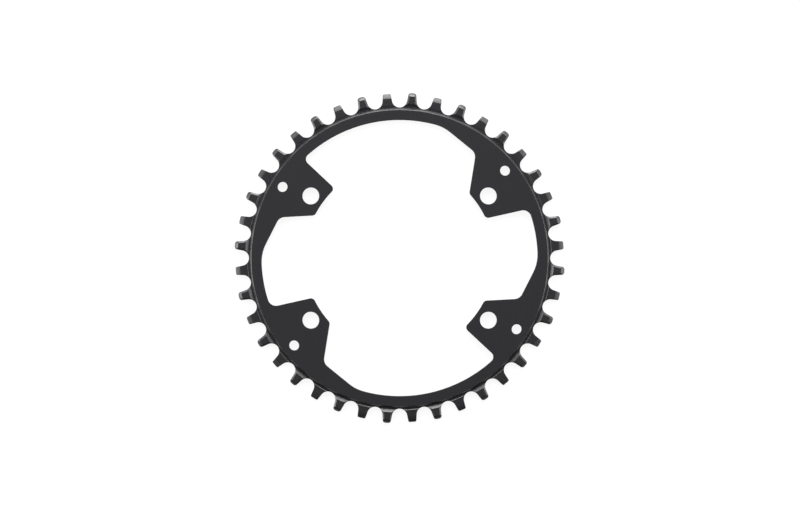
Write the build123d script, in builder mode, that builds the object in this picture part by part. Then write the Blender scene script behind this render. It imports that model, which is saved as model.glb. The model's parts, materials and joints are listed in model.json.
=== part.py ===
"""Bicycle chainring for a single-ring crank: one machined plate with four bolt tabs and forty teeth.

Narrow and wide teeth take turns round the ring, to fit the inner and outer links of the chain.
The ring lies flat on its back face, with its axis on Z, and its front face looks up.
Millimetres and degrees.
"""
from build123d import *
import os
from math import atan2, cos, degrees, hypot, isclose, radians, sin, sqrt, tan

# Chain and tooth gaps
CHAIN_PITCH = 12.7
TOOTH_COUNT = 40
ROLLER_DIAMETER = 7.75
SEAT_DROP = 0.62
FLANK_ANGLE = 11.7

# Crowns: height above the pitch circle, bevel run back from the tip, and land and corner at the tip
NARROW_TIP_RISE = 2.47
NARROW_BEVEL_RUN = 1.9
NARROW_TIP_LAND = 0.8
NARROW_TIP_CORNER = 0.4
WIDE_TIP_RISE = 2.97
WIDE_BEVEL_RUN = 1.75
WIDE_TIP_LAND = 1.4
WIDE_TIP_CORNER = 0.7
FLANK_BEVEL_WIDTH = 0.8
FLANK_BEVEL_DEPTH = 0.45

# Thicknesses, all about the same middle plane
WIDE_THICKNESS = 3.4
NARROW_THICKNESS = 1.95
BODY_PROUD_OF_WIDE = 0.3

# Turned groove between the rim's shoulder and the teeth
GROOVE_BELOW_NARROW = 0.175
GROOVE_INSIDE_ROOT = 0.59
GROOVE_OUTSIDE_ROOT = 0.41
SHOULDER_RUN = 0.83
BASE_SLOPE_ANGLE = 34.0

# Rim and bolt tabs
RIM_WIDTH = 4.87
BOLT_CIRCLE_DIAMETER = 110.0
BOLT_ANGLE = 35.0
BOLT_HOLE_DIAMETER = 8.6
TAB_TIP_WALL = 6.8
TAB_TIP_CORNER = 2.3
BRACE_TURN = 60.0
BRACE_BLEND = 20.0
BRACE_CORNER = 4.6

# First pair of tabs: each edge by its lean from the bolt's radius and its distance from the bolt
FIRST_BRACED_LEAN = 45.9
FIRST_BRACED_WALL = 9.7
FIRST_BRACE_SETBACK = 4.25
FIRST_PLAIN_LEAN = 22.4
FIRST_PLAIN_WALL = 10.9
FIRST_RIM_FILLET = 4.2

# Second pair of tabs
SECOND_BRACED_LEAN = 38.1
SECOND_BRACED_WALL = 10.0
SECOND_BRACE_SETBACK = 5.65
SECOND_PLAIN_LEAN = 8.1
SECOND_PLAIN_WALL = 11.05
SECOND_RIM_FILLET = 2.8

# Small holes beside the tabs' roots
PIN_HOLE_DIAMETER = 5.1
PIN_HOLE_SETBACK = 0.65
FIRST_PIN_ANGLE = 39.65
SECOND_PIN_ANGLE = -31.3

# Room that cutting tools keep past the metal
OVERRUN = 1.0

tooth_angle = 360 / TOOTH_COUNT
pair_count = TOOTH_COUNT // 2
narrow_bearing = tooth_angle / 2
wide_bearing = narrow_bearing + tooth_angle
pitch_radius = CHAIN_PITCH / (2 * sin(radians(tooth_angle / 2)))
seat_radius = ROLLER_DIAMETER / 2
seat_centre = pitch_radius - SEAT_DROP
root_radius = seat_centre - seat_radius
narrow_tip = pitch_radius + NARROW_TIP_RISE
wide_tip = pitch_radius + WIDE_TIP_RISE
clear_radius = max(narrow_tip, wide_tip) + OVERRUN

body_thickness = WIDE_THICKNESS + 2 * BODY_PROUD_OF_WIDE
middle_height = body_thickness / 2
middle_plane = Plane.XY.offset(middle_height)
clear_height = body_thickness + OVERRUN
root_face = middle_height + NARROW_THICKNESS / 2 - GROOVE_BELOW_NARROW
wide_face = middle_height + WIDE_THICKNESS / 2

groove_inner = root_radius - GROOVE_INSIDE_ROOT
groove_outer = root_radius + GROOVE_OUTSIDE_ROOT
shoulder_radius = groove_inner - SHOULDER_RUN
rim_inner = shoulder_radius - RIM_WIDTH
bolt_radius = BOLT_CIRCLE_DIAMETER / 2
tab_tip = bolt_radius - TAB_TIP_WALL
pin_radius = rim_inner - PIN_HOLE_SETBACK


def polar(radius, bearing):
    """The point at this radius and bearing from the axis."""
    return Vector(radius * cos(radians(bearing)), radius * sin(radians(bearing)))


def reach(point, bearing, radius):
    """Where a line through the point along the bearing goes out past the radius."""
    along = polar(1, bearing)
    back = point.dot(along)
    return point + along * (sqrt(back**2 - point.dot(point) + radius**2) - back)


def crown(tip, thickness, bevel_run, land):
    """A tooth's front section from the groove to past its tip: base slope, flat face, bevel and land."""
    face = middle_height + thickness / 2
    land_edge = middle_height + land / 2
    return [
        (groove_outer, root_face),
        (groove_outer + (face - root_face) / tan(radians(BASE_SLOPE_ANGLE)), face),
        (tip - bevel_run, face),
        (tip, land_edge),
        (clear_radius, land_edge),
        (clear_radius, clear_height),
    ]


def crown_sector(tip):
    """One tooth's crown before the gaps are cut, centred on +X."""
    start = polar(tip, -tooth_angle / 2)
    end = polar(tip, tooth_angle / 2)
    with BuildSketch() as sector:
        with BuildLine():
            Line((0, 0), start)
            ThreePointArc(start, (tip, 0), end)
            Line(end, (0, 0))
        make_face()
    return sector.sketch


def tab_corners(bolt_angle, braced_lean, braced_wall, brace_setback, plain_lean, plain_wall, rim_fillet):
    """A tab's corners with their rounds, clockwise: brace end and corner, two at the tip, plain edge's end."""
    bolt = polar(bolt_radius, bolt_angle)
    braced = bolt_angle + braced_lean
    braced_point = bolt + polar(braced_wall, braced + 90)
    brace_corner = reach(braced_point, braced, rim_inner - brace_setback)
    plain = bolt_angle - plain_lean
    plain_point = bolt + polar(plain_wall, plain - 90)
    return [
        (reach(brace_corner, braced + BRACE_TURN, rim_inner), BRACE_BLEND),
        (brace_corner, BRACE_CORNER),
        (reach(braced_point, braced, tab_tip), TAB_TIP_CORNER),
        (reach(plain_point, plain, tab_tip), TAB_TIP_CORNER),
        (reach(plain_point, plain, rim_inner), rim_fillet),
    ]


def first_tab(bolt_angle):
    """A tab of the first pair, on the bolt at this bearing."""
    return tab_corners(
        bolt_angle,
        FIRST_BRACED_LEAN,
        FIRST_BRACED_WALL,
        FIRST_BRACE_SETBACK,
        FIRST_PLAIN_LEAN,
        FIRST_PLAIN_WALL,
        FIRST_RIM_FILLET,
    )


def second_tab(bolt_angle):
    """A tab of the second pair, on the bolt at this bearing."""
    return tab_corners(
        bolt_angle,
        SECOND_BRACED_LEAN,
        SECOND_BRACED_WALL,
        SECOND_BRACE_SETBACK,
        SECOND_PLAIN_LEAN,
        SECOND_PLAIN_WALL,
        SECOND_RIM_FILLET,
    )


def corners_at(radius, vertices):
    """The vertices that lie at this radius from the axis."""
    return vertices.filter_by(lambda vertex: isclose(hypot(vertex.X, vertex.Y), radius, abs_tol=1e-4))


def middle_of_arc(start, end):
    """The point halfway along the arc about the axis between two points at one radius."""
    return (start + end).normalized() * start.length


# Outline of one tooth gap, along +X: a roller seat with straight flanks that open outwards
flank_start = Vector(seat_centre, 0) + polar(seat_radius, 90 + FLANK_ANGLE)
flank_rise = (clear_radius - flank_start.X) * tan(radians(FLANK_ANGLE))
flank_end = Vector(clear_radius, flank_start.Y + flank_rise)
with BuildSketch() as gap:
    with BuildLine():
        ThreePointArc(flank_start, (root_radius, 0), (flank_start.X, -flank_start.Y))
        Line((flank_start.X, -flank_start.Y), (flank_end.X, -flank_end.Y))
        Line((flank_end.X, -flank_end.Y), flank_end)
        Line(flank_end, flank_start)
    make_face()

# Turning tool for both faces: the rim's shoulder, the groove and the wide teeth
wide_crown = crown(wide_tip, WIDE_THICKNESS, WIDE_BEVEL_RUN, WIDE_TIP_LAND)
shoulder = [(shoulder_radius, clear_height), (shoulder_radius, body_thickness), (groove_inner, root_face)]
with BuildPart() as wide_tool:
    with BuildSketch(Plane.XZ):
        with BuildLine():
            Polyline(*shoulder, *wide_crown, close=True)
        make_face()
    revolve(axis=Axis.Z)
    mirror(about=middle_plane)

# Milling tool that thins one narrow tooth on both faces
narrow_crown = crown(narrow_tip, NARROW_THICKNESS, NARROW_BEVEL_RUN, NARROW_TIP_LAND)
with BuildPart() as narrow_tool:
    with BuildSketch(Plane.XZ):
        with BuildLine():
            Polyline((groove_outer, clear_height), *narrow_crown, close=True)
        make_face()
    revolve(axis=Axis.Z, revolution_arc=tooth_angle)
    mirror(about=middle_plane)

# Bevelling tool that follows one tooth gap and breaks the wide teeth's flank edges on both faces
bevel_lean = degrees(atan2(FLANK_BEVEL_WIDTH, FLANK_BEVEL_DEPTH))
with BuildPart() as flank_tool:
    with BuildSketch(Plane.XY.offset(wide_face - FLANK_BEVEL_DEPTH)):
        add(gap.sketch)
    extrude(amount=FLANK_BEVEL_DEPTH + BODY_PROUD_OF_WIDE, taper=-bevel_lean)
    mirror(about=middle_plane)

# Opening inside the rim, round the four tabs
bolt_bearings = [BOLT_ANGLE, -BOLT_ANGLE, 180 + BOLT_ANGLE, 180 - BOLT_ANGLE]
pin_bearings = [FIRST_PIN_ANGLE, SECOND_PIN_ANGLE, 180 + FIRST_PIN_ANGLE, 180 + SECOND_PIN_ANGLE]
tab_shapes = [first_tab, second_tab, first_tab, second_tab]
tabs = [shape(bearing) for shape, bearing in zip(tab_shapes, bolt_bearings)]
with BuildSketch() as window:
    with BuildLine():
        for tab, next_tab in zip(tabs, tabs[1:] + tabs[:1]):
            brace_end, brace_corner, braced_tip, plain_tip, plain_end = [corner for corner, _ in tab]
            next_brace_end = next_tab[0][0]
            Polyline(brace_end, brace_corner, braced_tip)
            ThreePointArc(braced_tip, middle_of_arc(braced_tip, plain_tip), plain_tip)
            Line(plain_tip, plain_end)
            ThreePointArc(plain_end, middle_of_arc(plain_end, next_brace_end), next_brace_end)
    make_face()
    for tab in tabs:
        for corner, radius in tab:
            fillet(window.vertices().sort_by_distance(corner)[0], radius)

with BuildPart() as chainring:
    with BuildSketch():
        Circle(pitch_radius)
        with PolarLocations(0, pair_count, start_angle=narrow_bearing):
            add(crown_sector(narrow_tip))
        with PolarLocations(0, pair_count, start_angle=wide_bearing):
            add(crown_sector(wide_tip))
        with PolarLocations(0, TOOTH_COUNT):
            add(gap.sketch, mode=Mode.SUBTRACT)
        chamfer(corners_at(narrow_tip, vertices()), NARROW_TIP_CORNER)
        chamfer(corners_at(wide_tip, vertices()), WIDE_TIP_CORNER)
        add(window.sketch, mode=Mode.SUBTRACT)
        with Locations(*[polar(bolt_radius, bearing) for bearing in bolt_bearings]):
            Circle(BOLT_HOLE_DIAMETER / 2, mode=Mode.SUBTRACT)
        with Locations(*[polar(pin_radius, bearing) for bearing in pin_bearings]):
            Circle(PIN_HOLE_DIAMETER / 2, mode=Mode.SUBTRACT)
    extrude(amount=body_thickness)

    add(wide_tool.part, mode=Mode.SUBTRACT)
    with PolarLocations(0, pair_count):
        add(narrow_tool.part, mode=Mode.SUBTRACT)
    with PolarLocations(0, TOOTH_COUNT):
        add(flank_tool.part, mode=Mode.SUBTRACT)
chainring.part.label = "chainring"

os.makedirs("parts", exist_ok=True)
export_step(chainring.part, "parts/chainring.step")
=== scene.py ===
"""A narrow-wide bicycle chainring in black anodised aluminium, finished over the packed part.

The ring keeps the part's form and gains what a finished ring has: machined tooth crowns with
sloped noses, softened edges, and a dyed oxide film over a blasted plate and turned teeth.
Lengths are metres, angles radians, and the front face looks up along +Z.
"""
import json
from math import acos, atan2, ceil, cos, hypot, pi, radians, sin, sqrt, tan

import bmesh
import bpy
from bpy.props import FloatProperty, FloatVectorProperty, IntProperty, PointerProperty
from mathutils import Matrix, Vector


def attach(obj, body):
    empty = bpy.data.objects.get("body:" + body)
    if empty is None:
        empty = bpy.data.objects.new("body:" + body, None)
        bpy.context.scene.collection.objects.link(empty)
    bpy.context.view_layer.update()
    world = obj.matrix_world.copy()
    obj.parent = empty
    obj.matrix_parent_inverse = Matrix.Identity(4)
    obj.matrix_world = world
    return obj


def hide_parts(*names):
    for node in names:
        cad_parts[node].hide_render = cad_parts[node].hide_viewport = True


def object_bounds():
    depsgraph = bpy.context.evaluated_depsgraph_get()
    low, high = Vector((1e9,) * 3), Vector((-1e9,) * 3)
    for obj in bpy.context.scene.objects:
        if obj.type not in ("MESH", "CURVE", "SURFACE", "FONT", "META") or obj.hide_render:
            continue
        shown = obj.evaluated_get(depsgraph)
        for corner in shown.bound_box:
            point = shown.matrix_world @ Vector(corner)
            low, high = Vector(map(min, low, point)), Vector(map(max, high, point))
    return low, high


bl_info = {
    "name": "Chainring Finish",
    "version": (1, 0, 0),
    "blender": (4, 5, 0),
    "location": "View3D > Sidebar > Chainring",
    "description": "Finishes a narrow-wide bicycle chainring and sets it in a plain studio",
    "category": "Object",
}

MM = 0.001
NODE = "chainring"
BODY = "root"
RING_NAME = "finished_ring"
FILM_NAME = "Anodised Film"

# Distance from a softened edge to the far side of the flat border beside it, in reaches of its curve
BORDER = 2
# Noises of the film and of the turning tool's marks
CLOUD_NOISE = {"Detail": 3, "Roughness": 0.55}
PIT_NOISE = {"Detail": 3, "Roughness": 0.65}
MARK_DETAIL = 1
NOISE_MEAN = 0.5

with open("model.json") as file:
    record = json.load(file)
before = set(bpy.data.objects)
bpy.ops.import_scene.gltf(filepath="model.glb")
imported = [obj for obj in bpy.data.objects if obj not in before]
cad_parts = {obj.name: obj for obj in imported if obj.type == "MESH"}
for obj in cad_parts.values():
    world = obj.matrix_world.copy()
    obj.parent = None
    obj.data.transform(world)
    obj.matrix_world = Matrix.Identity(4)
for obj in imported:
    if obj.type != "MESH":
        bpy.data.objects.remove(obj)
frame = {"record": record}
cad_low, cad_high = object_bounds()
bolt_mount = next(mount for mount in frame["record"]["mounts"] if mount["name"] == "crank_bolts")
bolt_across = bolt_mount["dims"]["spacing_x_mm"]
bolt_along = bolt_mount["dims"]["spacing_y_mm"]
bolt_hole_radius = bolt_mount["dims"]["hole_r_mm"]
plate_thickness = (cad_high.z - cad_low.z) / MM


def length(name, millimetres, description):
    """A length, with its default given in millimetres."""
    metres = millimetres * MM
    return FloatProperty(name=name, description=description, default=metres, precision=5, unit="LENGTH")


def angle(name, degrees, description):
    """An angle, with its default given in degrees."""
    return FloatProperty(name=name, description=description, default=radians(degrees), subtype="ANGLE")


def share(name, default, description):
    """A share from nothing to all."""
    return FloatProperty(name=name, description=description, default=default, min=0, max=1, subtype="FACTOR")


def number(name, default, description):
    """A plain number."""
    return FloatProperty(name=name, description=description, default=default)


def colour(name, default, description):
    """A colour in linear light."""
    return FloatVectorProperty(
        name=name,
        description=description,
        default=default,
        subtype="COLOR",
        min=0,
        max=1,
    )


class ToothSizes(bpy.types.PropertyGroup):
    """Sizes of the teeth and of the turned groove at their roots."""

    count: IntProperty(name="Teeth", description="Teeth round the ring, narrow and wide in turn", default=40)
    pitch: length("Chain Pitch", 12.7, "Distance from one chain roller to the next")
    roller: length("Roller Diameter", 7.75, "Diameter of the roller seat in each gap")
    seat_drop: length("Seat Drop", 0.62, "How far the seats' centres lie inside the pitch circle")
    flank_angle: angle("Flank Angle", 11.7, "Angle at which each gap's flanks open outwards")
    narrow_rise: length("Narrow Rise", 2.47, "Height of the narrow tips above the pitch circle")
    narrow_run: length("Narrow Taper Run", 2.4, "Length of the taper at a narrow tip")
    narrow_land: length("Narrow Land", 0.6, "Thickness left at a narrow tip")
    narrow_corner: length("Narrow Corner", 0.75, "Radius of a narrow tip's corners in plan")
    narrow_thickness: length("Narrow Thickness", 1.95, "Thickness of the narrow teeth")
    wide_rise: length("Wide Rise", 2.97, "Height of the wide tips above the pitch circle")
    wide_run: length("Wide Bevel Run", 1.75, "Length of the bevel at a wide tip")
    wide_land: length("Wide Land", 1.4, "Thickness left at a wide tip")
    wide_corner: length("Wide Corner", 1.4, "Radius of a wide tip's corners in plan")
    wide_thickness: length("Wide Thickness", 3.4, "Thickness of the wide teeth")
    flank_bevel: length("Flank Bevel", 0.8, "Width of the bevel along the wide flanks")
    flank_drop: length("Flank Drop", 0.45, "Depth of that bevel")
    groove_drop: length("Groove Drop", 0.2, "How far the groove lies below the narrow teeth's faces")
    groove_inside: length("Groove Inside Root", 0.59, "Reach of the groove's floor inside the root circle")
    groove_outside: length("Groove Outside Root", 0.5, "Reach of the groove's floor outside the root circle")
    shoulder_run: length("Shoulder Run", 0.45, "Plan width of the bevel at the rim's outer edge")
    shoulder_drop: length("Shoulder Drop", 0.45, "Depth of that bevel")
    step_run: length("Step Run", 0.26, "Plan width of the steep step from that bevel to the groove")
    base_slope: angle("Base Slope", 35.5, "Slope that rises from the groove to the teeth's faces")


class PlateSizes(bpy.types.PropertyGroup):
    """Sizes of the rim, the bolt tabs and the holes."""

    thickness: length("Thickness", plate_thickness, "Thickness of the rim and the tabs")
    rim_width: length("Rim Width", 4.99, "Width of the rim inside the shoulder")
    bolt_circle: length("Bolt Circle", hypot(bolt_across, bolt_along), "Diameter of the crank bolts' circle")
    bolt_bearing: FloatProperty(
        name="Bolt Bearing",
        description="Bearing of the first bolt from the X axis",
        default=atan2(bolt_along, bolt_across),
        subtype="ANGLE",
    )
    bolt_hole: length("Bolt Hole", 2 * bolt_hole_radius, "Diameter of the crank bolts' holes")
    tip_wall: length("Tab Tip Wall", 6.8, "Distance from a bolt's centre to its tab's tip")
    tip_corner: length("Tab Tip Corner", 2.3, "Radius of the corners at a tab's tip")
    brace_turn: angle("Brace Turn", 60.0, "Turn from a tab's braced edge to its brace")
    brace_blend: length("Brace Blend", 20.0, "Radius that blends a brace into the rim")
    brace_corner: length("Brace Corner", 4.6, "Radius between a braced edge and its brace")
    first_braced_lean: angle("First Braced Lean", 45.9, "Lean of the first tabs' braced edge")
    first_braced_wall: length("First Braced Wall", 9.7, "From a bolt to the first tabs' braced edge")
    first_setback: length("First Brace Setback", 4.25, "From the rim to the first tabs' brace corner")
    first_plain_lean: angle("First Plain Lean", 22.4, "Lean of the first tabs' plain edge")
    first_plain_wall: length("First Plain Wall", 10.9, "From a bolt to the first tabs' plain edge")
    first_rim_fillet: length("First Rim Fillet", 4.2, "Radius between that edge and the rim")
    second_braced_lean: angle("Second Braced Lean", 38.1, "Lean of the second tabs' braced edge")
    second_braced_wall: length("Second Braced Wall", 10.0, "From a bolt to the second tabs' braced edge")
    second_setback: length("Second Brace Setback", 5.65, "From the rim to the second tabs' brace corner")
    second_plain_lean: angle("Second Plain Lean", 8.1, "Lean of the second tabs' plain edge")
    second_plain_wall: length("Second Plain Wall", 11.05, "From a bolt to the second tabs' plain edge")
    second_rim_fillet: length("Second Rim Fillet", 2.8, "Radius between that edge and the rim")
    pin_hole: length("Pin Hole", 5.1, "Diameter of the small holes beside the tabs' roots")
    pin_setback: length("Pin Setback", 0.65, "How far those holes' centres lie inside the rim's inner edge")
    first_pin_bearing: angle("First Pin Bearing", 39.65, "Bearing of the small hole at the first tab")
    second_pin_bearing: angle("Second Pin Bearing", -31.3, "Bearing of the small hole at the second tab")


class EdgeSizes(bpy.types.PropertyGroup):
    """How far each edge of the ring is softened."""

    plate: length("Plate Edge", 0.1, "Radius along the tabs, the rim and the holes")
    outline: length("Tooth Outline", 0.08, "Radius along the roller seats and flanks")
    shoulder: length("Shoulder Edge", 0.12, "Reach of the curve at the shoulder's top edge")
    groove: length("Groove Corner", 0.1, "Reach of the curve where shoulder and groove meet")
    root: length("Root Corner", 0.15, "Reach of the curve where the groove turns up into a tooth")
    base: length("Base Edge", 0.1, "Reach of the curve at the top of a base slope")
    flank: length("Flank Crease", 0.12, "Softening of the wide flanks' bevel")
    narrow_taper: length("Narrow Taper Curve", 1.4, "Reach of the curve from a narrow face into its taper")
    wide_bevel: length("Wide Bevel Curve", 0.18, "Reach of the curve from a wide face into its bevel")
    narrow_nose: length("Narrow Nose", 0.2, "Reach of the slope round a narrow tip")
    narrow_nose_drop: length("Narrow Nose Drop", 0.18, "Depth of that slope at the tip")
    wide_nose: length("Wide Nose", 0.95, "Reach of the slope round a wide tip")
    wide_nose_drop: length("Wide Nose Drop", 0.34, "Depth of that slope at the tip")


class FinishValues(bpy.types.PropertyGroup):
    """The anodised film, the blasted plate and the turned teeth."""

    blasted_film: colour("Blasted Film", (0.0104, 0.0101, 0.0119), "Colour of the film over the plate")
    blasted_roughness: share("Blasted Roughness", 0.8, "Roughness of the blasted plate")
    blasted_shine: share("Blasted Shine", 0.12, "Specular level of the blasted plate")
    blasted_pits: length("Blasted Pits", 0.05, "Depth of the pits that blasting left in the plate")
    turned_film: colour("Turned Film", (0.0044, 0.0042, 0.0056), "Colour of the film over the teeth")
    turned_roughness: share("Turned Roughness", 0.39, "Roughness of the turned teeth and groove")
    turned_shine: share("Turned Shine", 0.52, "Specular level of the turned teeth and groove")
    turned_pits: length("Turned Pits", 0.006, "Depth of the pits in the film over the turned teeth")
    thin_film: number("Thin Film", 1.25, "How much paler the film is where it took less dye")
    ior: number("Film IOR", 1.77, "Refractive index of the oxide film")
    roughness_spread: share("Roughness Spread", 0.05, "How much the roughness varies over the film")
    grain: length("Grain", 0.4, "Size of the pits")
    clouds: length("Clouds", 24.0, "Size of the soft changes of colour in the film")
    mark_spacing: length("Tool Mark Spacing", 0.16, "Distance between the turning tool's marks")
    mark_depth: length("Tool Mark Depth", 0.004, "Depth of those marks")


class StudioValues(bpy.types.PropertyGroup):
    """The white table, the lamps and the camera."""

    table: colour("Table", (0.8, 0.8, 0.8), "Colour of the table as the ring sees it")
    table_reach: number("Table Reach", 5.0, "Radius of the table in metres")
    table_glow: share("Table Glow", 0.9, "White that the table gives to the camera without lamps")
    table_shade: share("Table Shade", 0.12, "Part of the table's white that the ring's shadow can take away")
    surroundings: colour("Surroundings", (0.06, 0.06, 0.06), "Dim light from all round")
    panel_distance: length("Panel Distance", 550.0, "Distance of the upright panels from the ring's axis")
    key_width: length("Key Width", 450.0, "Width of the large panel beyond the ring")
    key_foot: length("Key Foot", 50.0, "Height of that panel's lower edge")
    key_top: length("Key Top", 1240.0, "Height of that panel's upper edge")
    key_power: number("Key Power", 13.1, "Power of that panel, in watts")
    side_width: length("Side Width", 330.0, "Width of the smaller panels, at the sides and far corners")
    side_foot: length("Side Foot", 15.0, "Height of those panels' lower edge")
    side_top: length("Side Top", 790.0, "Height of those panels' upper edge")
    left_power: number("Left Power", 4.1, "Power of the panel at the left, in watts")
    right_power: number("Right Power", 2.85, "Power of the panel at the right, in watts")
    left_fill: number("Left Fill", 1.1, "Power of the panel at the far left corner, in watts")
    right_fill: number("Right Fill", 1.5, "Power of the panel at the far right corner, in watts")
    lens: number("Lens", 100.0, "Focal length in millimetres")
    sensor: number("Sensor", 36.0, "Sensor width in millimetres")
    view_width: length("View Width", 405.4, "Width of the view at the ring's front face")
    view_right: length("View Right", 0.21, "How far the view's middle lies right of the ring's axis")
    view_up: length("View Up", 0.03, "How far the view's middle lies above the ring's axis")


def polar(radius, bearing):
    """The plan point at this radius and bearing from the axis."""
    return Vector((radius * cos(bearing), radius * sin(bearing)))


def bearing_of(point):
    """The bearing of a plan point or direction."""
    return atan2(point.y, point.x)


def reach(point, bearing, radius):
    """Where a line through the point along the bearing goes out past the radius."""
    along = polar(1, bearing)
    back = point.dot(along)
    return point + along * (sqrt(back**2 - point.dot(point) + radius**2) - back)


def spread(start, end, steps):
    """Evenly spaced values from start to end, both included."""
    return [start + (end - start) * step / steps for step in range(steps + 1)]


def soft_min(first, second, softness):
    """The smaller value, eased where the two are within the softness of each other."""
    near = max(softness - abs(first - second), 0) / softness
    return min(first, second) - near**2 * softness / 4


def bend(before, corner, after, setback, steps):
    """Points along the curve that replaces a corner, from a setback before it to a setback after it."""
    start = corner + (before - corner).normalized() * setback
    end = corner + (after - corner).normalized() * setback
    return [start.lerp(corner, t).lerp(corner.lerp(end, t), t) for t in spread(0, 1, steps)]


def quarter_round(radius, steps):
    """Depth from the wall and drop from the face along a quarter round, from the face to the wall."""
    turns = spread(0, pi / 2, steps)
    return [(radius * (1 - sin(turn)), radius * (1 - cos(turn))) for turn in turns]


class Gap:
    """Plan of one roller gap along +X."""

    def __init__(self, teeth):
        self.half_tooth = pi / teeth.count
        self.pitch_radius = teeth.pitch / (2 * sin(self.half_tooth))
        self.seat_radius = teeth.roller / 2
        self.seat_centre = Vector((self.pitch_radius - teeth.seat_drop, 0))
        self.root_radius = self.seat_centre.x - self.seat_radius
        self.flank_bearing = teeth.flank_angle
        self.flank = polar(1, self.flank_bearing)
        self.flank_normal = polar(1, self.flank_bearing + pi / 2)
        self.flank_start = self.seat_centre + self.flank_normal * self.seat_radius

    def seat_point(self, turn):
        """The point on the seat at this turn from its deepest point."""
        return self.seat_centre + polar(self.seat_radius, pi - turn)

    def seat_turn(self, radius):
        """The turn from the seat's deepest point to where it meets the radius."""
        centre = self.seat_centre.x
        return acos((centre**2 + self.seat_radius**2 - radius**2) / (2 * centre * self.seat_radius))

    def seat_reach(self, bearing, depth):
        """Radius at which a line from the axis meets the seat, set back into the metal by the depth."""
        centre = self.seat_centre.x
        return centre * cos(bearing) - sqrt((self.seat_radius + depth) ** 2 - (centre * sin(bearing)) ** 2)

    def side_bearing(self, radius, depth):
        """Bearing at which seat and flank, set back into the metal by the depth, meet the radius."""
        start = self.flank_start + self.flank_normal * depth
        if radius >= start.length:
            return bearing_of(reach(start, self.flank_bearing, radius))
        centre = self.seat_centre.x
        return acos((radius**2 + centre**2 - (self.seat_radius + depth) ** 2) / (2 * radius * centre))

    def side_depth(self, point):
        """How far a point in the metal lies from seat and flank."""
        along = (point - self.flank_start).dot(self.flank)
        if along < 0:
            return (point - self.seat_centre).length - self.seat_radius
        return (point - self.flank_start).dot(self.flank_normal)


class Crown:
    """One kind of tooth, from the middle of a gap on +X to its own middle."""

    # Power by which a nose falls away: 1 would be a straight slope
    NOSE_CURVE = 1.25

    def __init__(self, gap, tip, corner, section, outline_round, nose, bevel_start, flank_bevel=None):
        self.gap = gap
        self.tip = tip
        self.corner = corner
        self.section = section
        self.outline_round = outline_round
        self.nose_reach, self.nose_drop = nose
        self.bevel_start = bevel_start
        self.flank_bevel = flank_bevel
        inner_start = gap.flank_start + gap.flank_normal * corner
        self.corner_centre = reach(inner_start, gap.flank_bearing, tip - corner)
        self.corner_start = (self.corner_centre - gap.flank_normal * corner).length

    def outline_bearing(self, radius):
        """Bearing of the tooth's outline at the radius, round the tip's corner too."""
        if radius <= self.corner_start:
            return self.gap.side_bearing(radius, 0)
        middle = self.corner_centre.length
        cosine = (radius**2 + middle**2 - self.corner**2) / (2 * radius * middle)
        return bearing_of(self.corner_centre) - acos(min(1, cosine))

    def column_bearing(self, radius, depth):
        """Bearing of a column that keeps this depth from the outline and draws in round the tip's corner."""
        if radius <= self.corner_start:
            return self.gap.side_bearing(radius, depth)
        middle = self.gap.half_tooth
        start_width = middle - self.gap.side_bearing(self.corner_start, 0)
        column_width = middle - self.gap.side_bearing(self.corner_start, depth)
        return middle - (middle - self.outline_bearing(radius)) * column_width / start_width

    def depth(self, point):
        """How far a point in the metal lies from the tooth's outline."""
        away = point - self.corner_centre
        past_flank = away.dot(self.gap.flank) > 0
        past_tip = away.cross(self.corner_centre) > 0
        if past_flank and past_tip:
            return self.corner - away.length
        return min(self.gap.side_depth(point), self.tip - point.length)

    def section_height(self, radius):
        """Height of the section above the middle plane."""
        for inner, outer in zip(self.section, self.section[1:]):
            if radius <= outer.x:
                return inner.y + (outer.y - inner.y) * (radius - inner.x) / (outer.x - inner.x)
        return self.section[-1].y

    def height(self, point):
        """Height of the finished face above the middle plane."""
        radius = point.length
        depth = max(self.depth(point), 0)
        height = self.section_height(radius)
        if self.flank_bevel and radius > self.gap.root_radius:
            edge_height, slope, softness = self.flank_bevel
            height = soft_min(height, edge_height + slope * depth, softness)
        nose_start = self.tip - self.nose_reach
        along = min(max((radius - self.bevel_start) / (nose_start - self.bevel_start), 0), 1)
        edge = self.outline_round + (self.nose_reach - self.outline_round) * along
        drop = self.outline_round + (self.nose_drop - self.outline_round) * along
        if depth < edge:
            outward = 1 - depth / edge
            rounded = 1 - sqrt(1 - outward**2)
            sloped = outward**self.NOSE_CURVE
            height -= drop * (rounded + (sloped - rounded) * along)
        return height


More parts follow.
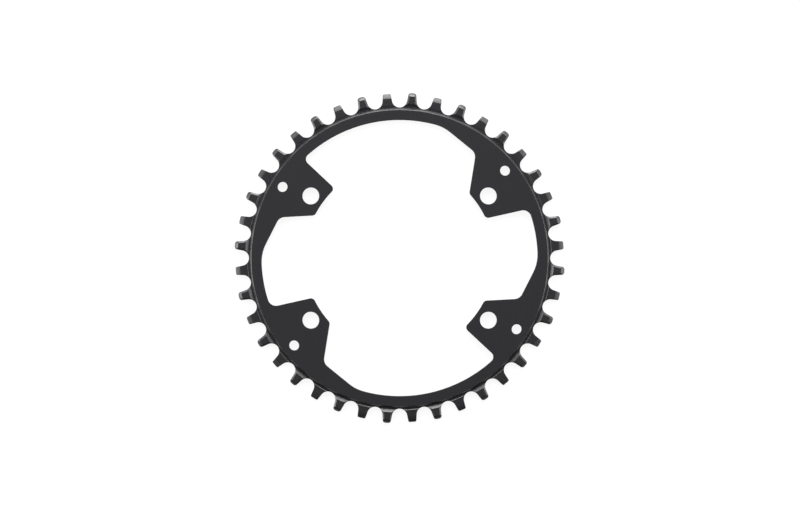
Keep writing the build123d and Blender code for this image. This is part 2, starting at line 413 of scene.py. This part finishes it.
class ToothedRim:
    """The shoulder, the groove and the teeth, as rows of points that run round the ring."""

    SHOULDER_STEPS = 4
    GROOVE_STEPS = 3
    BASE_STEPS = 4
    FACE_STEPS = 6
    SEAT_STEPS = 5
    EDGE_STEPS = 2
    FLANK_STEPS = 7
    CORNER_STEPS = 5
    NOSE_STEPS = 5
    INNER_COLUMNS = 3
    BEVEL_COLUMNS = 3
    ROW_APART = 0.02 * MM

    def __init__(self, teeth, plate, edges):
        self.teeth = teeth
        self.edges = edges
        self.gap = Gap(teeth)
        self.middle = plate.thickness / 2
        floor = teeth.narrow_thickness / 2 - teeth.groove_drop
        self.groove_inner = Vector((self.gap.root_radius - teeth.groove_inside, floor))
        self.groove_outer = Vector((self.gap.root_radius + teeth.groove_outside, floor))
        self.step = Vector((self.groove_inner.x - teeth.step_run, self.middle - teeth.shoulder_drop))
        self.shoulder = Vector((self.step.x - teeth.shoulder_run, self.middle))
        self.rim_face = self.shoulder - Vector((BORDER * edges.shoulder, 0))

        self.rim_line = [self.rim_face]
        self.rim_line += bend(self.rim_face, self.shoulder, self.step, edges.shoulder, self.SHOULDER_STEPS)
        self.rim_line += bend(self.shoulder, self.step, self.groove_inner, edges.groove, self.GROOVE_STEPS)
        groove = (self.step, self.groove_inner, self.groove_outer)
        self.rim_line += bend(*groove, edges.groove, self.GROOVE_STEPS)
        rising = self.groove_outer + polar(1, teeth.base_slope)
        root_steps = 2 * self.EDGE_STEPS
        self.root_line = bend(self.groove_inner, self.groove_outer, rising, edges.root, root_steps)
        self.root_start = self.root_line[self.EDGE_STEPS].x

    def narrow(self):
        """The narrow teeth, with a long curved taper."""
        teeth = self.teeth
        tip = Vector((self.gap.pitch_radius + teeth.narrow_rise, teeth.narrow_land / 2))
        bevel = Vector((tip.x - teeth.narrow_run, teeth.narrow_thickness / 2))
        section = self.section(bevel, tip, self.edges.narrow_taper)
        nose = (self.edges.narrow_nose, self.edges.narrow_nose_drop)
        return Crown(self.gap, tip.x, teeth.narrow_corner, section, self.edges.outline, nose, bevel.x)

    def wide(self):
        """The wide teeth, with a bevel at the tip and along both flanks."""
        teeth = self.teeth
        tip = Vector((self.gap.pitch_radius + teeth.wide_rise, teeth.wide_land / 2))
        bevel = Vector((tip.x - teeth.wide_run, teeth.wide_thickness / 2))
        section = self.section(bevel, tip, self.edges.wide_bevel)
        nose = (self.edges.wide_nose, self.edges.wide_nose_drop)
        flank = (bevel.y - teeth.flank_drop, teeth.flank_drop / teeth.flank_bevel, self.edges.flank)
        return Crown(self.gap, tip.x, teeth.wide_corner, section, self.edges.outline, nose, bevel.x, flank)

    def section(self, bevel, tip, curve):
        """A tooth's section from the rim's face to its tip, as radii and heights."""
        rise = bevel.y - self.groove_outer.y
        base = self.groove_outer + Vector((rise / tan(self.teeth.base_slope), rise))
        line = self.rim_line + self.root_line
        line += bend(self.groove_outer, base, bevel, self.edges.base, self.BASE_STEPS)
        line += bend(base, bevel, tip, curve, self.FACE_STEPS)
        return line + [tip]

    def tooth_rows(self, crown):
        """Radii of a tooth's rows from root to tip, at its section's creases and its outline's turns."""
        gap = self.gap
        seat_turns = spread(gap.seat_turn(self.root_start), pi / 2 - gap.flank_bearing, self.FLANK_STEPS)
        radii = [gap.seat_point(turn).length for turn in seat_turns]
        corner_turns = spread(gap.flank_bearing - pi / 2, bearing_of(crown.corner_centre), self.CORNER_STEPS)
        radii += [(crown.corner_centre + polar(crown.corner, turn)).length for turn in corner_turns]
        radii += [crown.tip - depth for depth, _ in quarter_round(crown.nose_reach, self.NOSE_STEPS)]
        radii += [point.x for point in crown.section]
        rows = [self.root_start]
        for radius in sorted(radii):
            if radius - rows[-1] > self.ROW_APART and crown.tip - radius > self.ROW_APART:
                rows.append(radius)
        return rows + [crown.tip]

    def tooth_columns(self, crown, radius):
        """Bearings across half a tooth at the radius, from its outline to its middle."""
        depths = [depth for depth, _ in reversed(quarter_round(self.edges.outline, self.EDGE_STEPS))]
        bevel = self.teeth.flank_bevel
        depths += [bevel / self.BEVEL_COLUMNS, bevel - self.edges.flank, bevel + self.edges.flank]
        bearings = [crown.column_bearing(radius, depth) for depth in depths]
        return bearings + spread(bearings[-1], self.gap.half_tooth, self.INNER_COLUMNS)[1:]

    def tooth(self, crown):
        """Rows of one tooth from the middle of a gap on +X to the middle of the next.

        The first list runs across the whole tooth from the rim to the teeth's roots, and the second
        across the tooth itself from root to tip. Each point is a radius, a bearing and a height.
        """
        gap = self.gap
        seat_turns = spread(0, gap.seat_turn(self.root_start), self.SEAT_STEPS)
        seat_bearings = [bearing_of(gap.seat_point(turn)) for turn in seat_turns]
        root_bearings = self.tooth_columns(crown, self.root_start)[1:]
        base_rows = [[(row.x, bearing) for bearing in seat_bearings + root_bearings] for row in self.rim_line]
        edge_depths = [depth for depth, _ in quarter_round(self.edges.outline, self.EDGE_STEPS)]
        for depth, row in zip(edge_depths, self.root_line):
            seat = [(gap.seat_reach(bearing, depth), bearing) for bearing in seat_bearings]
            base_rows.append(seat + [(row.x, bearing) for bearing in root_bearings])
        tooth_rows = [
            [(radius, bearing) for bearing in self.tooth_columns(crown, radius)]
            for radius in self.tooth_rows(crown)
        ]
        return [[self.whole_row(crown, row) for row in rows] for rows in (base_rows, tooth_rows)]

    def whole_row(self, crown, row):
        """A row across a whole tooth, with its heights, from the row across its first half."""
        half = [(radius, bearing, crown.height(polar(radius, bearing))) for radius, bearing in row]
        turn = 2 * self.gap.half_tooth
        return half + [(radius, turn - bearing, height) for radius, bearing, height in reversed(half[:-1])]


class LineEdge:
    """A straight edge of the window, with the window on the right of its bearing."""

    def __init__(self, point, bearing):
        self.point = point
        self.bearing = bearing

    def moved(self, shift):
        """The same edge moved towards the window."""
        return LineEdge(self.point + polar(shift, self.bearing - pi / 2), self.bearing)

    def nearest(self, point):
        """The edge's point that is nearest to another."""
        along = polar(1, self.bearing)
        return self.point + along * (point - self.point).dot(along)

    def crossings(self, other):
        """Where the edge crosses another."""
        along = polar(1, self.bearing)
        if isinstance(other, LineEdge):
            across = polar(1, other.bearing + pi / 2)
            return [self.point + along * ((other.point - self.point).dot(across) / along.dot(across))]
        foot = self.nearest(Vector((0, 0)))
        half = sqrt(other.radius**2 - foot.length_squared)
        return [foot + along * half, foot - along * half]


class RoundEdge:
    """An edge of the window that runs round the axis, with the window inside it."""

    def __init__(self, radius):
        self.radius = radius

    def moved(self, shift):
        """The same edge moved towards the window."""
        return RoundEdge(self.radius - shift)

    def nearest(self, point):
        """The edge's point that is nearest to another."""
        return point.normalized() * self.radius

    def crossings(self, other):
        """Where the edge crosses a straight one."""
        return other.crossings(self)


def arc(centre, start, end, largest_step):
    """Points along the shorter arc about a centre, both ends included."""
    first = bearing_of(start - centre)
    sweep = (bearing_of(end - centre) - first + pi) % (2 * pi) - pi
    steps = max(1, ceil(abs(sweep) / largest_step))
    radius = (start - centre).length
    return [centre + polar(radius, bearing) for bearing in spread(first, first + sweep, steps)]


class Plate:
    """The rim and the four bolt tabs: the loops of their inner edges."""

    CORNER_STEP = radians(6)
    RIM_STEP = radians(1.5)
    HOLE_STEPS = 64
    EDGE_STEPS = 3

    def __init__(self, plate, rim_inner):
        self.plate = plate
        self.rim = RoundEdge(rim_inner)
        self.bolt_radius = plate.bolt_circle / 2
        self.tip = RoundEdge(self.bolt_radius - plate.tip_wall)

    def tab(self, bolt_bearing, braced_lean, braced_wall, setback, plain_lean, plain_wall, rim_fillet):
        """A tab's corners, clockwise: the edges before and after each, its round, and a point near it."""
        plate = self.plate
        bolt = polar(self.bolt_radius, bolt_bearing)
        braced = bolt_bearing + braced_lean
        braced_point = bolt + polar(braced_wall, braced + pi / 2)
        corner = reach(braced_point, braced, self.rim.radius - setback)
        plain = bolt_bearing - plain_lean
        plain_point = bolt + polar(plain_wall, plain - pi / 2)
        brace = LineEdge(corner, braced + plate.brace_turn + pi)
        braced_edge = LineEdge(corner, braced + pi)
        plain_edge = LineEdge(plain_point, plain)
        brace_end = reach(corner, braced + plate.brace_turn, self.rim.radius)
        return [
            (self.rim, brace, plate.brace_blend, brace_end),
            (brace, braced_edge, plate.brace_corner, corner),
            (braced_edge, self.tip, -plate.tip_corner, reach(braced_point, braced, self.tip.radius)),
            (self.tip, plain_edge, -plate.tip_corner, reach(plain_point, plain, self.tip.radius)),
            (plain_edge, self.rim, rim_fillet, reach(plain_point, plain, self.rim.radius)),
        ]

    def tabs(self):
        """The four tabs' corners, clockwise round the window."""
        plate = self.plate
        first = (
            plate.first_braced_lean,
            plate.first_braced_wall,
            plate.first_setback,
            plate.first_plain_lean,
            plate.first_plain_wall,
            plate.first_rim_fillet,
        )
        second = (
            plate.second_braced_lean,
            plate.second_braced_wall,
            plate.second_setback,
            plate.second_plain_lean,
            plate.second_plain_wall,
            plate.second_rim_fillet,
        )
        bolt = plate.bolt_bearing
        right = [self.tab(bolt, *first), self.tab(-bolt, *second)]
        left = [self.tab(pi + bolt, *first), self.tab(pi - bolt, *second)]
        return right + left

    def window(self):
        """The closed outline of the opening inside the rim."""
        axis = Vector((0, 0))
        points = []
        corners = [corner for tab in self.tabs() for corner in tab]
        for before, after, round_radius, near in corners:
            centres = before.moved(round_radius).crossings(after.moved(round_radius))
            centre = min(centres, key=lambda candidate: (candidate - near).length)
            start = before.nearest(centre)
            end = after.nearest(centre)
            if points and isinstance(before, RoundEdge):
                points += arc(axis, points[-1], start, self.RIM_STEP)[1:-1]
            points += arc(centre, start, end, self.CORNER_STEP)
        return points + arc(axis, points[-1], points[0], self.RIM_STEP)[1:-1]

    def holes(self):
        """The outlines of the bolt holes and the small holes."""
        plate = self.plate
        pin_radius = self.rim.radius - plate.pin_setback
        bolts = [plate.bolt_bearing, -plate.bolt_bearing]
        pins = [plate.first_pin_bearing, plate.second_pin_bearing]
        places = [(self.bolt_radius, bearing, plate.bolt_hole / 2) for bearing in bolts]
        places += [(pin_radius, bearing, plate.pin_hole / 2) for bearing in pins]
        turns = spread(0, 2 * pi, self.HOLE_STEPS)[:-1]
        return [
            [polar(radius, bearing + half_turn) + polar(hole, turn) for turn in turns]
            for radius, bearing, hole in places
            for half_turn in (0, pi)
        ]


def metal_sides(loop):
    """For each point of a closed outline round an opening, the direction into the metal."""
    twice_area = sum(point.cross(after) for point, after in zip(loop, loop[1:] + loop[:1]))
    side = 1 if twice_area > 0 else -1
    sides = []
    for before, after in zip(loop[-1:] + loop[:-1], loop[1:] + loop[:1]):
        along = (after - before).normalized()
        sides.append(Vector((along.y, -along.x)) * side)
    return sides


class RingMesh:
    """The ring's points and faces, gathered a patch at a time."""

    BLASTED = 0
    TURNED = 1
    # Upright part of the normals of faces that count as flat
    FLAT = cos(radians(7))
    MERGE = 0.001 * MM

    def __init__(self, middle):
        self.middle = middle
        self.points = []
        self.faces = []
        self.finishes = []

    def patch(self, rows, finish):
        """Quads between neighbouring rows of points."""
        start = len(self.points)
        width = len(rows[0])
        for row in rows:
            self.points.extend(row)
        for row in range(len(rows) - 1):
            for column in range(width - 1):
                corner = start + row * width + column
                self.faces.append((corner, corner + width, corner + width + 1, corner + 1))
                self.finishes.append(finish)

    def point(self, plan, height):
        """A point at a height above the middle plane."""
        return (plan.x, plan.y, self.middle + height)

    def placed(self, rows, turn, side):
        """Rows of radius, bearing and height as points, turned to their place on the front or the back."""
        return [
            [self.point(polar(radius, bearing + turn), side * height) for radius, bearing, height in row]
            for row in rows
        ]

    def add_tooth(self, base_rows, tooth_rows, turn):
        """One tooth's front, back and walls, turned to its place."""
        outlines = []
        for side in (1, -1):
            base = self.placed(base_rows, turn, side)
            tooth = self.placed(tooth_rows, turn, side)
            self.patch(base, self.TURNED)
            self.patch(tooth, self.TURNED)
            gap_points = (len(base[0]) - len(tooth[0])) // 2
            rising = [row[0] for row in tooth]
            falling = [row[-1] for row in reversed(tooth)]
            outline = base[-1][:gap_points] + rising + tooth[-1][1:-1] + falling + base[-1][-gap_points:]
            outlines.append(outline)
        self.patch(outlines, self.TURNED)

    def add_opening(self, loop, edge, steps):
        """The wall round an opening, with both its edges rounded and a narrow border on each face."""
        into_metal = metal_sides(loop)
        front = [(BORDER * edge, 0)] + quarter_round(edge, steps)
        profile = [(depth, self.middle - drop) for depth, drop in front]
        profile += [(depth, drop - self.middle) for depth, drop in reversed(front)]
        rows = []
        for depth, height in profile:
            row = [self.point(point + side * depth, height) for point, side in zip(loop, into_metal)]
            rows.append(row + row[:1])
        self.patch(rows, self.BLASTED)

    def build(self, name):
        """The finished mesh, with the plate's two faces filled in and every flat face blasted."""
        mesh = bpy.data.meshes.new(name)
        mesh.from_pydata(self.points, [], self.faces)
        mesh.polygons.foreach_set("material_index", self.finishes)
        work = bmesh.new()
        work.from_mesh(mesh)
        bmesh.ops.remove_doubles(work, verts=work.verts, dist=self.MERGE)
        rims = [edge for edge in work.edges if edge.is_boundary]
        for side in (1, -1):
            loops = [edge for edge in rims if (edge.verts[0].co.z - self.middle) * side > 0]
            bmesh.ops.triangle_fill(work, use_beauty=True, edges=loops, normal=(0, 0, side))
        if any(not edge.is_manifold for edge in work.edges):
            raise RuntimeError("the ring's mesh isn't closed")
        bmesh.ops.recalc_face_normals(work, faces=work.faces)
        for face in work.faces:
            face.smooth = True
            if abs(face.normal.z) > self.FLAT:
                face.material_index = self.BLASTED
        work.to_mesh(mesh)
        work.free()
        return mesh


def add_node(tree, kind, inputs=None, **settings):
    """A shader node with some of its inputs and settings set."""
    node = tree.nodes.new(kind)
    for name, value in settings.items():
        setattr(node, name, value)
    for socket, value in (inputs or {}).items():
        node.inputs[socket].default_value = value
    return node


def film_group():
    """Shader group of the dyed oxide film: clouds of colour, uneven roughness and fine pits."""
    tree = bpy.data.node_groups.new(FILM_NAME, "ShaderNodeTree")
    for name, kind in (
        ("Film", "NodeSocketColor"),
        ("Thin Film", "NodeSocketColor"),
        ("Cloud Scale", "NodeSocketFloat"),
        ("Roughness", "NodeSocketFloat"),
        ("Roughness Spread", "NodeSocketFloat"),
        ("Grain Scale", "NodeSocketFloat"),
    ):
        tree.interface.new_socket(name, in_out="INPUT", socket_type=kind)
    for name, kind in (
        ("Colour", "NodeSocketColor"),
        ("Roughness", "NodeSocketFloat"),
        ("Pits", "NodeSocketFloat"),
    ):
        tree.interface.new_socket(name, in_out="OUTPUT", socket_type=kind)
    given = add_node(tree, "NodeGroupInput")
    result = add_node(tree, "NodeGroupOutput")
    place = add_node(tree, "ShaderNodeTexCoord")
    clouds = add_node(tree, "ShaderNodeTexNoise", CLOUD_NOISE)
    pits = add_node(tree, "ShaderNodeTexNoise", PIT_NOISE)
    dye = add_node(tree, "ShaderNodeMix", data_type="RGBA")
    centred = add_node(tree, "ShaderNodeMath", {1: NOISE_MEAN}, operation="SUBTRACT")
    uneven = add_node(tree, "ShaderNodeMath", operation="MULTIPLY_ADD")
    links = tree.links
    links.new(place.outputs["Object"], clouds.inputs["Vector"])
    links.new(place.outputs["Object"], pits.inputs["Vector"])
    links.new(given.outputs["Cloud Scale"], clouds.inputs["Scale"])
    links.new(given.outputs["Grain Scale"], pits.inputs["Scale"])
    links.new(clouds.outputs["Fac"], dye.inputs["Factor"])
    links.new(given.outputs["Film"], dye.inputs["A"])
    links.new(given.outputs["Thin Film"], dye.inputs["B"])
    links.new(clouds.outputs["Fac"], centred.inputs[0])
    links.new(centred.outputs["Value"], uneven.inputs[0])
    links.new(given.outputs["Roughness Spread"], uneven.inputs[1])
    links.new(given.outputs["Roughness"], uneven.inputs[2])
    links.new(dye.outputs["Result"], result.inputs["Colour"])
    links.new(uneven.outputs["Value"], result.inputs["Roughness"])
    links.new(pits.outputs["Fac"], result.inputs["Pits"])
    return tree


def film_material(name, finish, film_colour, roughness, shine, pit_depth):
    """A material under the oxide film, and the bump of its pits, which a surface's own marks join on to."""
    material = bpy.data.materials.new(name)
    material.use_nodes = True
    tree = material.node_tree
    shader = tree.nodes["Principled BSDF"]
    shader.inputs["IOR"].default_value = finish.ior
    shader.inputs["Specular IOR Level"].default_value = shine
    values = {
        "Film": (*film_colour, 1),
        "Thin Film": (*[channel * finish.thin_film for channel in film_colour], 1),
        "Cloud Scale": 1 / finish.clouds,
        "Roughness": roughness,
        "Roughness Spread": finish.roughness_spread,
        "Grain Scale": 1 / finish.grain,
    }
    group = bpy.data.node_groups.get(FILM_NAME) or film_group()
    film = add_node(tree, "ShaderNodeGroup", values, node_tree=group)
    pits = add_node(tree, "ShaderNodeBump", {"Strength": 1, "Distance": pit_depth})
    tree.links.new(film.outputs["Colour"], shader.inputs["Base Color"])
    tree.links.new(film.outputs["Roughness"], shader.inputs["Roughness"])
    tree.links.new(film.outputs["Pits"], pits.inputs["Height"])
    tree.links.new(pits.outputs["Normal"], shader.inputs["Normal"])
    return material, pits


def blasted_material(finish):
    """The plate: blasted to a fine even grain, then anodised."""
    look = (finish.blasted_film, finish.blasted_roughness, finish.blasted_shine, finish.blasted_pits)
    return film_material("blasted_plate", finish, *look)[0]


def turned_material(finish):
    """Teeth and groove: the turning tool's rings under the film."""
    look = (finish.turned_film, finish.turned_roughness, finish.turned_shine, finish.turned_pits)
    material, pits = film_material("turned_teeth", finish, *look)
    tree = material.node_tree
    place = add_node(tree, "ShaderNodeTexCoord")
    flat = add_node(tree, "ShaderNodeVectorMath", {1: (1, 1, 0)}, operation="MULTIPLY")
    radius = add_node(tree, "ShaderNodeVectorMath", operation="LENGTH")
    ring_noise = {"Scale": 1 / finish.mark_spacing, "Detail": MARK_DETAIL}
    rings = add_node(tree, "ShaderNodeTexNoise", ring_noise, noise_dimensions="1D")
    marks = add_node(tree, "ShaderNodeBump", {"Strength": 1, "Distance": finish.mark_depth})
    tree.links.new(place.outputs["Object"], flat.inputs[0])
    tree.links.new(flat.outputs["Vector"], radius.inputs[0])
    tree.links.new(radius.outputs["Value"], rings.inputs["W"])
    tree.links.new(rings.outputs["Fac"], marks.inputs["Height"])
    tree.links.new(marks.outputs["Normal"], pits.inputs["Normal"])
    return material


def table_material(studio):
    """A white table: pale to the ring, white to the camera, and darkened by the ring's shadow."""
    material = bpy.data.materials.new("white_table")
    material.use_nodes = True
    tree = material.node_tree
    tree.nodes.remove(tree.nodes["Principled BSDF"])
    output = tree.nodes["Material Output"]
    pale = add_node(tree, "ShaderNodeBsdfDiffuse", {"Color": (*studio.table, 1)})
    glow = add_node(tree, "ShaderNodeEmission", {"Color": (1, 1, 1, 1), "Strength": studio.table_glow})
    shade = add_node(tree, "ShaderNodeBsdfDiffuse", {"Color": (*[studio.table_shade] * 3, 1)})
    white = add_node(tree, "ShaderNodeAddShader")
    ray = add_node(tree, "ShaderNodeLightPath")
    seen = add_node(tree, "ShaderNodeMath", operation="MAXIMUM")
    shown = add_node(tree, "ShaderNodeMath", operation="MAXIMUM")
    either = add_node(tree, "ShaderNodeMixShader")
    links = tree.links
    links.new(glow.outputs["Emission"], white.inputs[0])
    links.new(shade.outputs["BSDF"], white.inputs[1])
    links.new(ray.outputs["Is Camera Ray"], seen.inputs[0])
    links.new(ray.outputs["Is Glossy Ray"], seen.inputs[1])
    links.new(seen.outputs["Value"], shown.inputs[0])
    links.new(ray.outputs["Is Transmission Ray"], shown.inputs[1])
    links.new(shown.outputs["Value"], either.inputs["Fac"])
    links.new(pale.outputs["BSDF"], either.inputs[1])
    links.new(white.outputs["Shader"], either.inputs[2])
    links.new(either.outputs["Shader"], output.inputs["Surface"])
    return material


def add_object(name, data):
    """An object of this data in the scene."""
    thing = bpy.data.objects.new(name, data)
    bpy.context.scene.collection.objects.link(thing)
    return thing


def add_panel_lamp(name, bearing, distance, width, foot, top, power):
    """A soft panel that stands upright and faces the ring's axis."""
    lamp = bpy.data.lights.new(name, "AREA")
    lamp.shape = "RECTANGLE"
    lamp.size = width
    lamp.size_y = top - foot
    lamp.energy = power
    panel = add_object(name, lamp)
    panel.location = (*polar(distance, bearing), (foot + top) / 2)
    panel.rotation_euler = (-pi / 2, 0, bearing - pi / 2)
    panel.visible_camera = False


class CHAINRING_OT_ring(bpy.types.Operator):
    """Build the finished ring in place of the packed one"""

    bl_idname = "chainring.ring"
    bl_label = "Finished Ring"

    def execute(self, context):
        scene = context.scene
        rim = ToothedRim(scene.chainring_teeth, scene.chainring_plate, scene.chainring_edges)
        plate = Plate(scene.chainring_plate, rim.shoulder.x - scene.chainring_plate.rim_width)
        shape = RingMesh(rim.middle)
        kinds = [rim.tooth(rim.narrow()), rim.tooth(rim.wide())]
        tooth_turn = 2 * rim.gap.half_tooth
        for place in range(scene.chainring_teeth.count):
            shape.add_tooth(*kinds[place % 2], place * tooth_turn)
        for loop in [plate.window()] + plate.holes():
            shape.add_opening(loop, scene.chainring_edges.plate, plate.EDGE_STEPS)

        ring = add_object(RING_NAME, shape.build(RING_NAME))
        finish = scene.chainring_finish
        for material in (blasted_material(finish), turned_material(finish)):
            ring.data.materials.append(material)
        ring.modifiers.new("Weighted Normals", "WEIGHTED_NORMAL")
        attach(ring, BODY)
        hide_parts(NODE)
        return {"FINISHED"}


class CHAINRING_OT_stage(bpy.types.Operator):
    """Set the white table, the lamps and the camera round the ring"""

    bl_idname = "chainring.stage"
    bl_label = "Studio"

    TABLE_SIDES = 64
    # Bearings of the panels from the ring's axis
    FAR = pi / 2
    LEFT = pi
    RIGHT = 0
    FAR_LEFT = 3 * pi / 4
    FAR_RIGHT = pi / 4

    def execute(self, context):
        scene = context.scene
        studio = scene.chainring_studio
        scene.view_settings.view_transform = "Standard"
        self.add_table(studio)
        self.add_lamps(scene, studio)
        self.add_camera(scene, studio)
        return {"FINISHED"}

    def add_table(self, studio):
        """The table that the ring lies on."""
        mesh = bpy.data.meshes.new("table")
        work = bmesh.new()
        bmesh.ops.create_circle(work, cap_ends=True, radius=studio.table_reach, segments=self.TABLE_SIDES)
        work.to_mesh(mesh)
        work.free()
        table = add_object("table", mesh)
        table.data.materials.append(table_material(studio))

    def add_lamps(self, scene, studio):
        """A large panel beyond the ring, smaller ones at its sides and far corners, and a dim world."""
        key = (studio.key_width, studio.key_foot, studio.key_top)
        side = (studio.side_width, studio.side_foot, studio.side_top)
        for name, bearing, size, power in (
            ("key_panel", self.FAR, key, studio.key_power),
            ("left_panel", self.LEFT, side, studio.left_power),
            ("right_panel", self.RIGHT, side, studio.right_power),
            ("left_fill", self.FAR_LEFT, side, studio.left_fill),
            ("right_fill", self.FAR_RIGHT, side, studio.right_fill),
        ):
            add_panel_lamp(name, bearing, studio.panel_distance, *size, power)
        world = bpy.data.worlds.new("surroundings")
        world.use_nodes = True
        world.node_tree.nodes["Background"].inputs["Color"].default_value = (*studio.surroundings, 1)
        scene.world = world

    def add_camera(self, scene, studio):
        """A camera over the ring that looks straight down."""
        camera = bpy.data.cameras.new("camera")
        camera.lens = studio.lens
        camera.sensor_width = studio.sensor
        eye = add_object("camera", camera)
        distance = studio.view_width * studio.lens / studio.sensor
        eye.location = (studio.view_right, studio.view_up, cad_high.z + distance)
        scene.camera = eye


class CHAINRING_PT_panel(bpy.types.Panel):
    """The ring's sizes and finish, and the buttons that build it"""

    bl_idname = "CHAINRING_PT_panel"
    bl_label = "Chainring"
    bl_space_type = "VIEW_3D"
    bl_region_type = "UI"
    bl_category = "Chainring"

    def draw(self, context):
        layout = self.layout
        for operator in OPERATORS:
            layout.operator(operator.bl_idname)
        for name, group in GROUPS.items():
            box = layout.box()
            box.label(text=group.__doc__)
            for prop in group.__annotations__:
                box.prop(getattr(context.scene, name), prop)


GROUPS = {
    "chainring_teeth": ToothSizes,
    "chainring_plate": PlateSizes,
    "chainring_edges": EdgeSizes,
    "chainring_finish": FinishValues,
    "chainring_studio": StudioValues,
}
OPERATORS = (CHAINRING_OT_ring, CHAINRING_OT_stage)
CLASSES = (*GROUPS.values(), *OPERATORS, CHAINRING_PT_panel)


def register():
    """Make the classes and the scene's values known to Blender."""
    for cls in CLASSES:
        bpy.utils.register_class(cls)
    for name, group in GROUPS.items():
        setattr(bpy.types.Scene, name, PointerProperty(type=group))


def unregister():
    """Take the scene's values and the classes away again."""
    for name in GROUPS:
        delattr(bpy.types.Scene, name)
    for cls in reversed(CLASSES):
        bpy.utils.unregister_class(cls)


def main():
    """Build the ring and its studio."""
    register()
    bpy.ops.chainring.ring()
    bpy.ops.chainring.stage()


if __name__ == "__main__":
    main()
